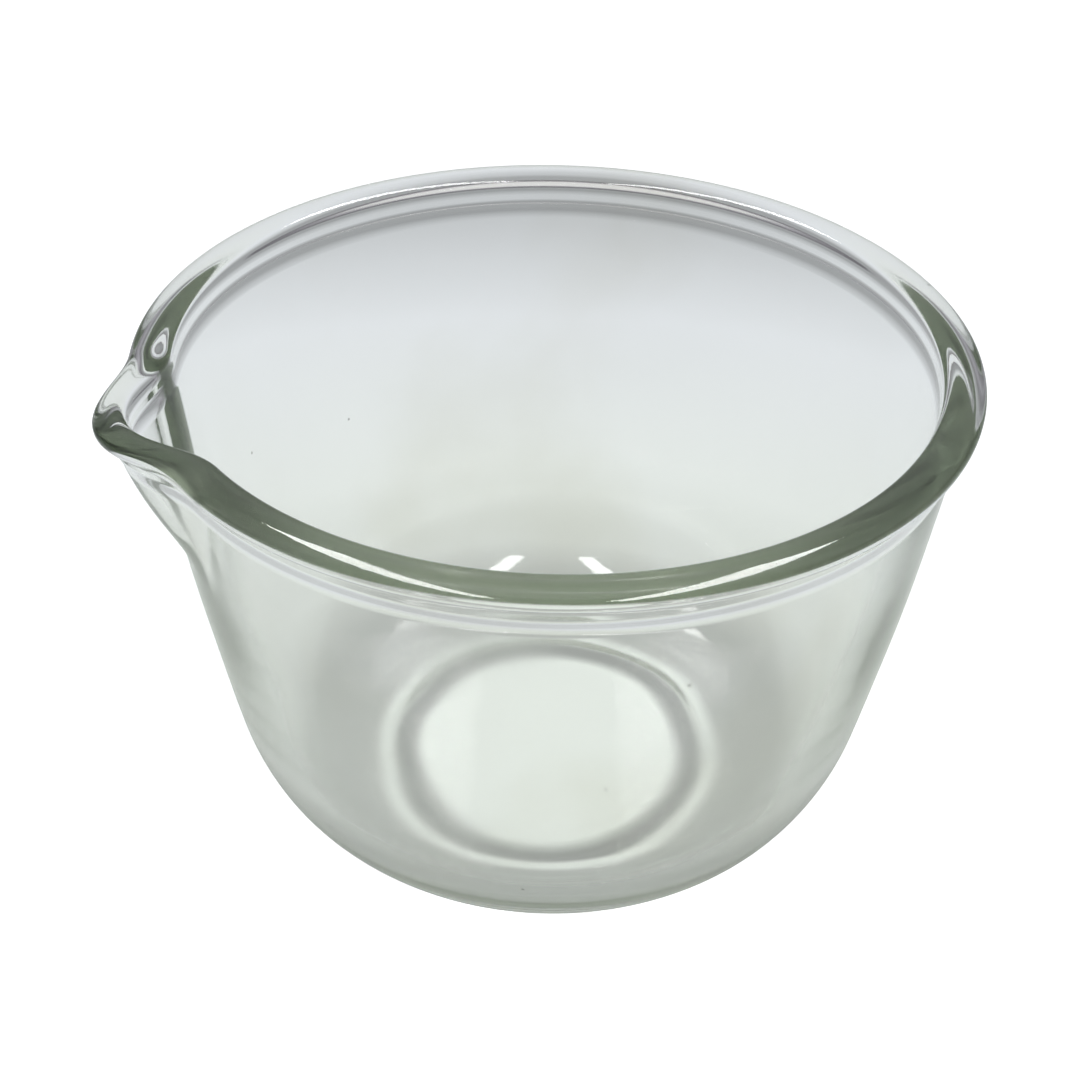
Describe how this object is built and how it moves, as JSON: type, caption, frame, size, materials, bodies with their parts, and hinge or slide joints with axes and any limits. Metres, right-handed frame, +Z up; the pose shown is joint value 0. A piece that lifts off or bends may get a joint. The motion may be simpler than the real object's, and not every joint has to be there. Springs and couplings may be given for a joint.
{
  "type": "mixing bowl",
  "caption": "Clear pressed-glass mixing bowl: tapered wall, rounded heel, thick rolled rim with a short pouring spout, and a flat pad and foot to stand on.",
  "frame": {"origin": "centre of the flat pad under the base, on the bowl's axis, at the resting plane", "axes": "+Z up along the bowl's axis; the spout points along -X, and +X is the side of the rim opposite the spout; +Y completes the right-handed frame"},
  "size_m": [0.1725, 0.165, 0.106],
  "materials": {
    "clear_glass": "clear, fire-polished, with a faint green tint that deepens along the rim"
  },
  "bodies": {
    "root": {"bowl": "clear_glass"}
  },
  "joints": []
}
